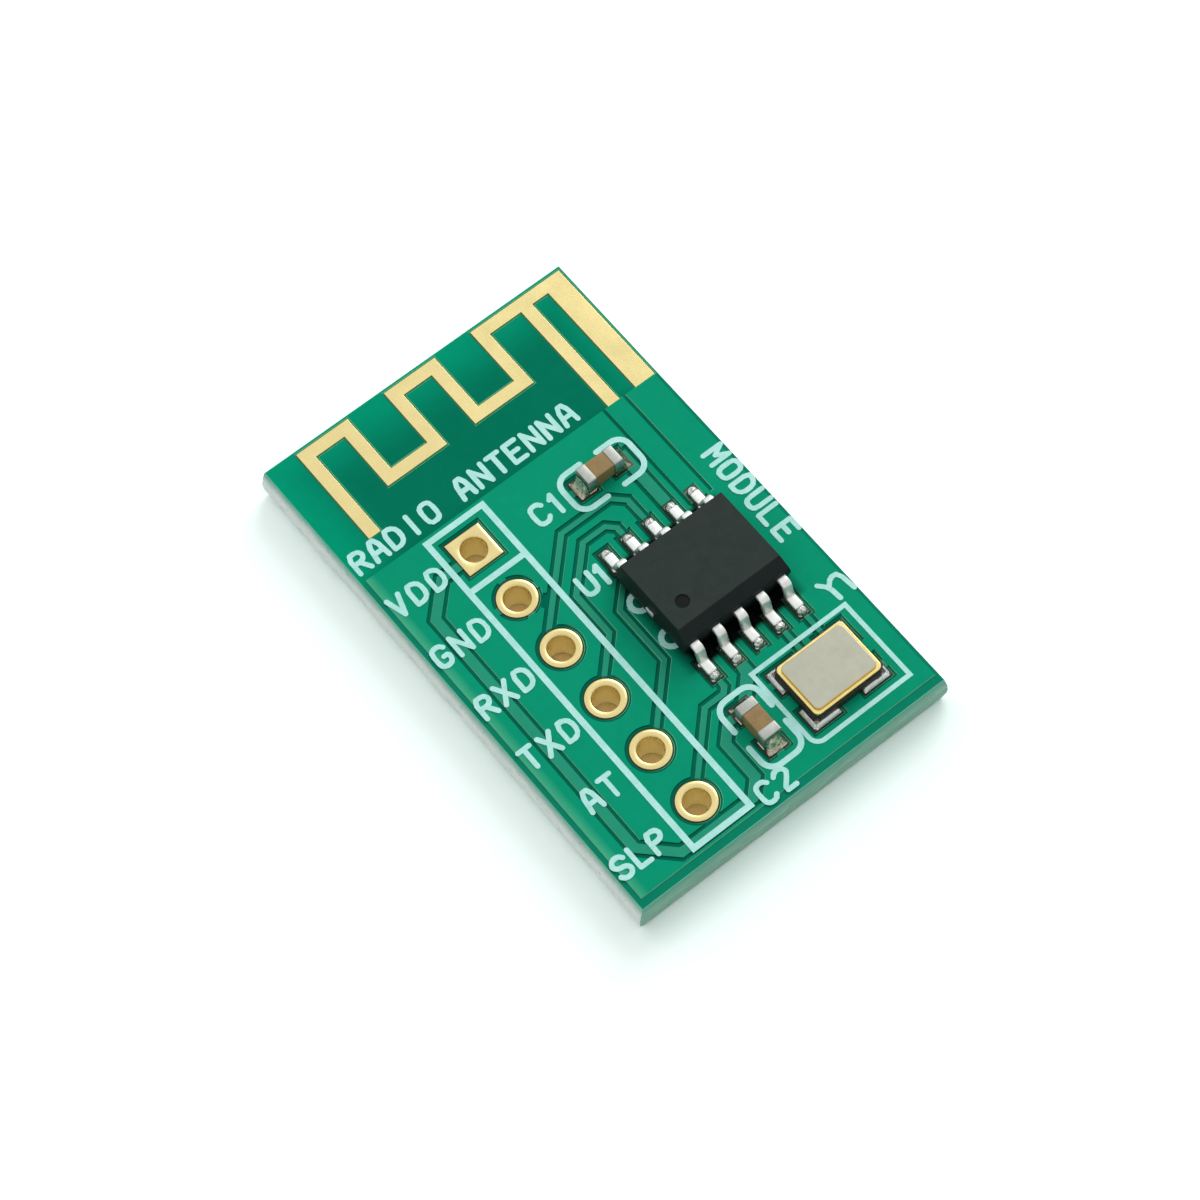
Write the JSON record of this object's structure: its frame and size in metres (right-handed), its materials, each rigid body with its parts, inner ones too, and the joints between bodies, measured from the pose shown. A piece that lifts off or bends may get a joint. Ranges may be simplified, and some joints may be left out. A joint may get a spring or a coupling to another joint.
{
  "type": "wireless serial module board",
  "caption": "Small green circuit board module: etched meander antenna at one end, moulded chip with gull-wing leads, crystal, chip capacitors and a row of plated header holes.",
  "frame": {"origin": "middle of the board's outline, on the underside of the bottom solder mask", "axes": "+X across the board towards the chip, +Y along the board towards the antenna, +Z out of the component side"},
  "size_m": [0.0138, 0.022, 0.0031],
  "materials": {
    "laminate": "cut glass-fibre laminate, slightly rough",
    "copper": "etched copper foil",
    "gold_plate": "thin satin gold on copper",
    "solder_mask": "green film, soft gloss",
    "ink": "printed pale ink",
    "mould": "dark moulding compound, fine matt grain",
    "tinned_metal": "tinned copper alloy",
    "solder": "bright reflowed solder",
    "silicon": "sawn silicon",
    "bond_gold": "drawn gold wire",
    "dark_ceramic": "fired dark ceramic",
    "lid_metal": "rolled alloy sheet, satin",
    "quartz": "lapped quartz",
    "glue": "cured silver-filled glue",
    "tan_ceramic": "fired brown ceramic"
  },
  "bodies": {
    "root": {"substrate": "laminate", "top_ground_pour": "copper", "signal_tracks": "copper", "solder_lands": "copper", "antenna": "gold_plate", "top_solder_mask": "solder_mask", "bottom_ground_pour": "copper", "bottom_solder_mask": "solder_mask", "legend_ink": "ink", "ic_body": "mould", "ic_paddle": "tinned_metal", "ic_die": "silicon", "ic_bond_wires": "bond_gold", "ic_paddle_solder": "solder", "ic_solder_low_row": "solder", "ic_solder_high_row": "solder", "crystal_base": "dark_ceramic", "crystal_seal_ring": "gold_plate", "crystal_lid": "lid_metal", "crystal_blank": "quartz", "crystal_glue": "glue", "crystal_terminals": "gold_plate", "crystal_solder": "solder", "plated_hole_1": "gold_plate", "plated_hole_2": "gold_plate", "plated_hole_3": "gold_plate", "plated_hole_4": "gold_plate", "plated_hole_5": "gold_plate", "plated_hole_6": "gold_plate", "ic_lead_1": "tinned_metal", "ic_lead_2": "tinned_metal", "ic_lead_3": "tinned_metal", "ic_lead_4": "tinned_metal", "ic_lead_5": "tinned_metal", "ic_lead_6": "tinned_metal", "ic_lead_7": "tinned_metal", "ic_lead_8": "tinned_metal", "ic_lead_9": "tinned_metal", "ic_lead_10": "tinned_metal", "c1_body": "tan_ceramic", "c1_terminal_a": "tinned_metal", "c1_terminal_b": "tinned_metal", "c1_solder": "solder", "c2_body": "tan_ceramic", "c2_terminal_a": "tinned_metal", "c2_terminal_b": "tinned_metal", "c2_solder": "solder"}
  },
  "joints": []
}
